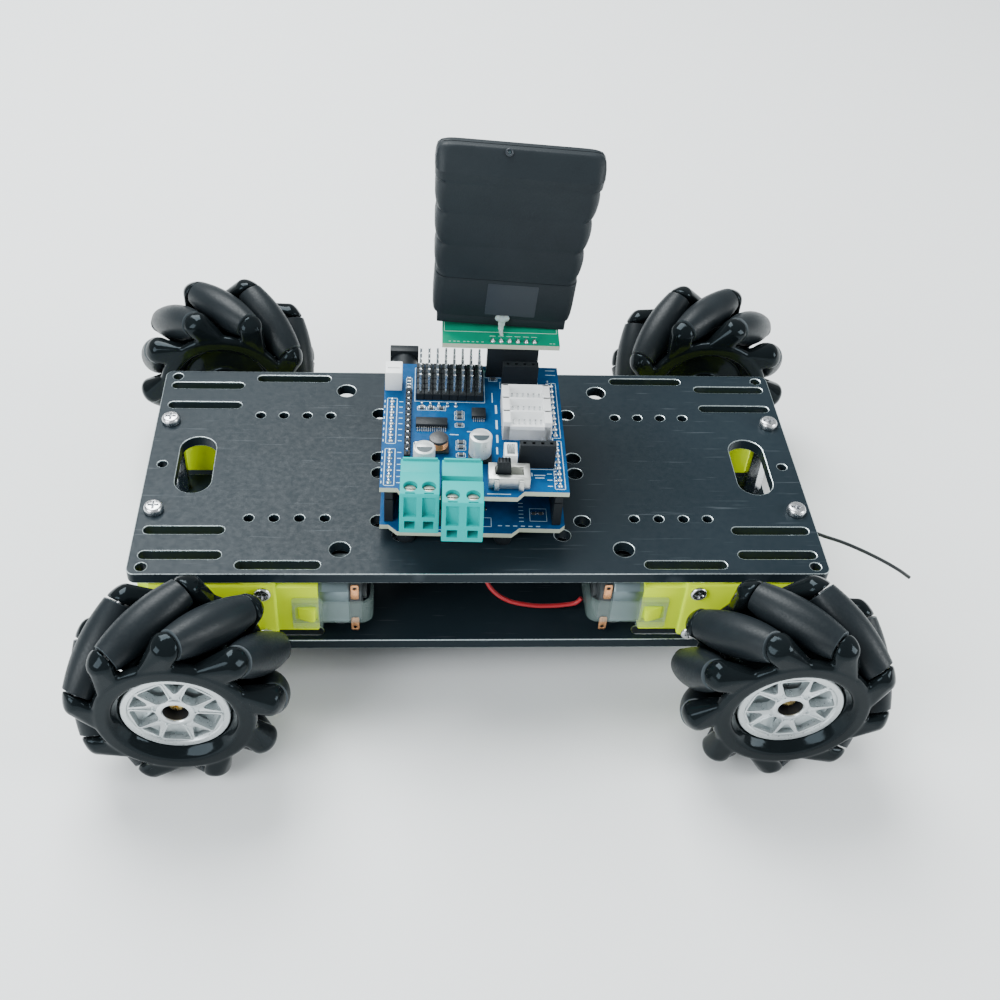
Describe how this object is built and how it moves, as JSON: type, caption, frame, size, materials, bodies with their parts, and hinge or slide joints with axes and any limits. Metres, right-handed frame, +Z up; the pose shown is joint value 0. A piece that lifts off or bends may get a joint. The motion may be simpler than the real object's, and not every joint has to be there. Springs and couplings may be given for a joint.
{
  "type": "four wheel robot chassis",
  "caption": "Four wheel robot chassis with mecanum wheels, two slotted plates, gear motors, a stacked controller and driver board, and an upright wireless receiver.",
  "frame": {"origin": "on the floor, under the middle of the chassis plates", "axes": "+X to the front along the plates' length, +Y to the left side, +Z up"},
  "size_m": [0.2464, 0.168, 0.1377],
  "materials": {
    "plate_metal": "black anodised sheet, fine scratches, bright cut edges",
    "steel_hardware": "bright hex standoffs and pan-head screws",
    "gearbox_plastic": "yellow gearbox moulding; its motor can, strap, bracket and screws share the node",
    "wheel_plastic": "glossy black moulding",
    "roller_rubber": "matte charcoal rubber",
    "board_blue": "blue solder mask with white outline marks",
    "board_green": "emerald solder mask",
    "terminal_plastic": "turquoise moulding",
    "case_plastic": "charcoal case, fine texture",
    "knob_plastic": "black moulding",
    "red_insulation": "red lead insulation",
    "black_insulation": "black lead insulation"
  },
  "bodies": {
    "chassis": {"bottom_plate": "plate_metal", "top_plate": "plate_metal", "standoff_front_left": "steel_hardware", "standoff_front_right": "steel_hardware", "standoff_rear_left": "steel_hardware", "standoff_rear_right": "steel_hardware", "gearmotor_rear_right": "gearbox_plastic", "gearmotor_front_right": "gearbox_plastic", "gearmotor_rear_left": "gearbox_plastic", "gearmotor_front_left": "gearbox_plastic", "controller_board": "board_blue", "driver_shield": "board_blue", "terminal_plug_left": "terminal_plastic", "terminal_plug_right": "terminal_plastic", "receiver_adapter": "board_green", "wireless_receiver": "case_plastic", "red_lead": "red_insulation", "black_lead": "black_insulation"},
    "wheel_rear_right": {"wheel_frame_rear_right": "wheel_plastic"},
    "roller_rear_right_1": {"roller_rear_right_1": "roller_rubber"},
    "roller_rear_right_2": {"roller_rear_right_2": "roller_rubber"},
    "roller_rear_right_3": {"roller_rear_right_3": "roller_rubber"},
    "roller_rear_right_4": {"roller_rear_right_4": "roller_rubber"},
    "roller_rear_right_5": {"roller_rear_right_5": "roller_rubber"},
    "roller_rear_right_6": {"roller_rear_right_6": "roller_rubber"},
    "roller_rear_right_7": {"roller_rear_right_7": "roller_rubber"},
    "roller_rear_right_8": {"roller_rear_right_8": "roller_rubber"},
    "roller_rear_right_9": {"roller_rear_right_9": "roller_rubber"},
    "wheel_front_right": {"wheel_frame_front_right": "wheel_plastic"},
    "roller_front_right_1": {"roller_front_right_1": "roller_rubber"},
    "roller_front_right_2": {"roller_front_right_2": "roller_rubber"},
    "roller_front_right_3": {"roller_front_right_3": "roller_rubber"},
    "roller_front_right_4": {"roller_front_right_4": "roller_rubber"},
    "roller_front_right_5": {"roller_front_right_5": "roller_rubber"},
    "roller_front_right_6": {"roller_front_right_6": "roller_rubber"},
    "roller_front_right_7": {"roller_front_right_7": "roller_rubber"},
    "roller_front_right_8": {"roller_front_right_8": "roller_rubber"},
    "roller_front_right_9": {"roller_front_right_9": "roller_rubber"},
    "wheel_rear_left": {"wheel_frame_rear_left": "wheel_plastic"},
    "roller_rear_left_1": {"roller_rear_left_1": "roller_rubber"},
    "roller_rear_left_2": {"roller_rear_left_2": "roller_rubber"},
    "roller_rear_left_3": {"roller_rear_left_3": "roller_rubber"},
    "roller_rear_left_4": {"roller_rear_left_4": "roller_rubber"},
    "roller_rear_left_5": {"roller_rear_left_5": "roller_rubber"},
    "roller_rear_left_6": {"roller_rear_left_6": "roller_rubber"},
    "roller_rear_left_7": {"roller_rear_left_7": "roller_rubber"},
    "roller_rear_left_8": {"roller_rear_left_8": "roller_rubber"},
    "roller_rear_left_9": {"roller_rear_left_9": "roller_rubber"},
    "wheel_front_left": {"wheel_frame_front_left": "wheel_plastic"},
    "roller_front_left_1": {"roller_front_left_1": "roller_rubber"},
    "roller_front_left_2": {"roller_front_left_2": "roller_rubber"},
    "roller_front_left_3": {"roller_front_left_3": "roller_rubber"},
    "roller_front_left_4": {"roller_front_left_4": "roller_rubber"},
    "roller_front_left_5": {"roller_front_left_5": "roller_rubber"},
    "roller_front_left_6": {"roller_front_left_6": "roller_rubber"},
    "roller_front_left_7": {"roller_front_left_7": "roller_rubber"},
    "roller_front_left_8": {"roller_front_left_8": "roller_rubber"},
    "roller_front_left_9": {"roller_front_left_9": "roller_rubber"},
    "switch_knob": {"switch_knob": "knob_plastic"},
    "reset_button": {"reset_button": "knob_plastic"}
  },
  "joints": [
    {"name": "wheel_spin_rear_right", "type": "hinge", "parent": "chassis", "child": "wheel_rear_right", "pos_m": [-0.0835, -0.0695, 0.03], "axis": [0, 1, 0], "continuous": true},
    {"name": "wheel_spin_front_right", "type": "hinge", "parent": "chassis", "child": "wheel_front_right", "pos_m": [0.0835, -0.0695, 0.03], "axis": [0, 1, 0], "continuous": true},
    {"name": "wheel_spin_rear_left", "type": "hinge", "parent": "chassis", "child": "wheel_rear_left", "pos_m": [-0.0835, 0.0695, 0.03], "axis": [0, 1, 0], "continuous": true},
    {"name": "wheel_spin_front_left", "type": "hinge", "parent": "chassis", "child": "wheel_front_left", "pos_m": [0.0835, 0.0695, 0.03], "axis": [0, 1, 0], "continuous": true},
    {"name": "power_switch", "type": "slide", "parent": "chassis", "child": "switch_knob", "axis": [0.9996, -0.028, 0], "range_m": [0, 0.0032]},
    {"name": "reset_press", "type": "slide", "parent": "chassis", "child": "reset_button", "axis": [0, 0, -1], "range_m": [0, 0.00025], "stiffness_N_per_m": 2000, "springref_m": -0.0002},
    {"name": "roller_spin_rear_right_1", "type": "hinge", "parent": "wheel_rear_right", "child": "roller_rear_right_1", "pos_m": [-0.06197, -0.0695, 0.0406], "axis": [-0.3122, -0.7071, 0.6345], "continuous": true},
    {"name": "roller_spin_rear_right_2", "type": "hinge", "parent": "wheel_rear_right", "child": "roller_rear_right_2", "pos_m": [-0.07381, -0.0695, 0.05196], "axis": [-0.647, -0.7071, 0.2853], "continuous": true},
    {"name": "roller_spin_rear_right_3", "type": "hinge", "parent": "wheel_rear_right", "child": "roller_rear_right_3", "pos_m": [-0.0902, -0.0695, 0.05305], "axis": [-0.679, -0.7071, -0.1973], "continuous": true},
    {"name": "roller_spin_rear_right_4", "type": "hinge", "parent": "wheel_rear_right", "child": "roller_rear_right_4", "pos_m": [-0.10344, -0.0695, 0.04335], "axis": [-0.3934, -0.7071, -0.5876], "continuous": true},
    {"name": "roller_spin_rear_right_5", "type": "hinge", "parent": "wheel_rear_right", "child": "roller_rear_right_5", "pos_m": [-0.10736, -0.0695, 0.02741], "axis": [0.0764, -0.7071, -0.703], "continuous": true},
    {"name": "roller_spin_rear_right_6", "type": "hinge", "parent": "wheel_rear_right", "child": "roller_rear_right_6", "pos_m": [-0.10011, -0.0695, 0.01268], "axis": [0.5104, -0.7071, -0.4894], "continuous": true},
    {"name": "roller_spin_rear_right_7", "type": "hinge", "parent": "wheel_rear_right", "child": "roller_rear_right_7", "pos_m": [-0.08509, -0.0695, 0.00605], "axis": [0.7056, -0.7071, -0.0469], "continuous": true},
    {"name": "roller_spin_rear_right_8", "type": "hinge", "parent": "wheel_rear_right", "child": "roller_rear_right_8", "pos_m": [-0.06933, -0.0695, 0.01063], "axis": [0.5706, -0.7071, 0.4176], "continuous": true},
    {"name": "roller_spin_rear_right_9", "type": "hinge", "parent": "wheel_rear_right", "child": "roller_rear_right_9", "pos_m": [-0.06019, -0.0695, 0.02428], "axis": [0.1687, -0.7071, 0.6867], "continuous": true},
    {"name": "roller_spin_front_right_1", "type": "hinge", "parent": "wheel_front_right", "child": "roller_front_right_1", "pos_m": [0.10696, -0.0695, 0.03507], "axis": [0.1494, -0.7071, -0.6911], "continuous": true},
    {"name": "roller_spin_front_right_2", "type": "hinge", "parent": "wheel_front_right", "child": "roller_front_right_2", "pos_m": [0.09821, -0.0695, 0.04896], "axis": [0.5587, -0.7071, -0.4334], "continuous": true},
    {"name": "roller_spin_front_right_3", "type": "hinge", "parent": "wheel_front_right", "child": "roller_front_right_3", "pos_m": [0.08258, -0.0695, 0.05398], "axis": [0.7066, -0.7071, 0.0271], "continuous": true},
    {"name": "roller_spin_front_right_4", "type": "hinge", "parent": "wheel_front_right", "child": "roller_front_right_4", "pos_m": [0.06738, -0.0695, 0.04778], "axis": [0.5238, -0.7071, 0.475], "continuous": true},
    {"name": "roller_spin_front_right_5", "type": "hinge", "parent": "wheel_front_right", "child": "roller_front_right_5", "pos_m": [0.05972, -0.0695, 0.03326], "axis": [0.096, -0.7071, 0.7006], "continuous": true},
    {"name": "roller_spin_front_right_6", "type": "hinge", "parent": "wheel_front_right", "child": "roller_front_right_6", "pos_m": [0.06319, -0.0695, 0.01721], "axis": [-0.3768, -0.7071, 0.5983], "continuous": true},
    {"name": "roller_spin_front_right_7", "type": "hinge", "parent": "wheel_front_right", "child": "roller_front_right_7", "pos_m": [0.07616, -0.0695, 0.00715], "axis": [-0.6733, -0.7071, 0.2162], "continuous": true},
    {"name": "roller_spin_front_right_8", "type": "hinge", "parent": "wheel_front_right", "child": "roller_front_right_8", "pos_m": [0.09257, -0.0695, 0.00778], "axis": [-0.6547, -0.7071, -0.2672], "continuous": true},
    {"name": "roller_spin_front_right_9", "type": "hinge", "parent": "wheel_front_right", "child": "roller_front_right_9", "pos_m": [0.10473, -0.0695, 0.01881], "axis": [-0.3298, -0.7071, -0.6255], "continuous": true},
    {"name": "roller_spin_rear_left_1", "type": "hinge", "parent": "wheel_rear_left", "child": "roller_rear_left_1", "pos_m": [-0.0599, 0.0695, 0.03437], "axis": [-0.1289, 0.7071, 0.6953], "continuous": true},
    {"name": "roller_spin_rear_left_2", "type": "hinge", "parent": "wheel_rear_left", "child": "roller_rear_left_2", "pos_m": [-0.06823, 0.0695, 0.04852], "axis": [-0.5456, 0.7071, 0.4498], "continuous": true},
    {"name": "roller_spin_rear_left_3", "type": "hinge", "parent": "wheel_rear_left", "child": "roller_rear_left_3", "pos_m": [-0.08371, 0.0695, 0.054], "axis": [-0.7071, 0.7071, -0.0062], "continuous": true},
    {"name": "roller_spin_rear_left_4", "type": "hinge", "parent": "wheel_rear_left", "child": "roller_rear_left_4", "pos_m": [-0.09909, 0.0695, 0.04825], "axis": [-0.5377, 0.7071, -0.4592], "continuous": true},
    {"name": "roller_spin_rear_left_5", "type": "hinge", "parent": "wheel_rear_left", "child": "roller_rear_left_5", "pos_m": [-0.10717, 0.0695, 0.03396], "axis": [-0.1167, 0.7071, -0.6974], "continuous": true},
    {"name": "roller_spin_rear_left_6", "type": "hinge", "parent": "wheel_rear_left", "child": "roller_rear_left_6", "pos_m": [-0.10418, 0.0695, 0.01782], "axis": [0.3589, 0.7071, -0.6093], "continuous": true},
    {"name": "roller_spin_rear_left_7", "type": "hinge", "parent": "wheel_rear_left", "child": "roller_rear_left_7", "pos_m": [-0.09151, 0.0695, 0.00738], "axis": [0.6665, 0.7071, -0.236], "continuous": true},
    {"name": "roller_spin_rear_left_8", "type": "hinge", "parent": "wheel_rear_left", "child": "roller_rear_left_8", "pos_m": [-0.07509, 0.0695, 0.00752], "axis": [0.6623, 0.7071, 0.2476], "continuous": true},
    {"name": "roller_spin_rear_left_9", "type": "hinge", "parent": "wheel_rear_left", "child": "roller_rear_left_9", "pos_m": [-0.06261, 0.0695, 0.01818], "axis": [0.3482, 0.7071, 0.6154], "continuous": true},
    {"name": "roller_spin_front_left_1", "type": "hinge", "parent": "wheel_front_left", "child": "roller_front_left_1", "pos_m": [0.10704, 0.0695, 0.03466], "axis": [0.1373, 0.7071, -0.6936], "continuous": true},
    {"name": "roller_spin_front_left_2", "type": "hinge", "parent": "wheel_front_left", "child": "roller_front_left_2", "pos_m": [0.09854, 0.0695, 0.0487], "axis": [0.5511, 0.7071, -0.4431], "continuous": true},
    {"name": "roller_spin_front_left_3", "type": "hinge", "parent": "wheel_front_left", "child": "roller_front_left_3", "pos_m": [0.083, 0.0695, 0.05399], "axis": [0.707, 0.7071, 0.0148], "continuous": true},
    {"name": "roller_spin_front_left_4", "type": "hinge", "parent": "wheel_front_left", "child": "roller_front_left_4", "pos_m": [0.06769, 0.0695, 0.04806], "axis": [0.532, 0.7071, 0.4658], "continuous": true},
    {"name": "roller_spin_front_left_5", "type": "hinge", "parent": "wheel_front_left", "child": "roller_front_left_5", "pos_m": [0.05978, 0.0695, 0.03367], "axis": [0.1082, 0.7071, 0.6988], "continuous": true},
    {"name": "roller_spin_front_left_6", "type": "hinge", "parent": "wheel_front_left", "child": "roller_front_left_6", "pos_m": [0.06297, 0.0695, 0.01757], "axis": [-0.3663, 0.7071, 0.6048], "continuous": true},
    {"name": "roller_spin_front_left_7", "type": "hinge", "parent": "wheel_front_left", "child": "roller_front_left_7", "pos_m": [0.07577, 0.0695, 0.00728], "axis": [-0.6694, 0.7071, 0.2279], "continuous": true},
    {"name": "roller_spin_front_left_8", "type": "hinge", "parent": "wheel_front_left", "child": "roller_front_left_8", "pos_m": [0.09218, 0.0695, 0.00762], "axis": [-0.6593, 0.7071, -0.2557], "continuous": true},
    {"name": "roller_spin_front_left_9", "type": "hinge", "parent": "wheel_front_left", "child": "roller_front_left_9", "pos_m": [0.10453, 0.0695, 0.01844], "axis": [-0.3407, 0.7071, -0.6196], "continuous": true}
  ]
}
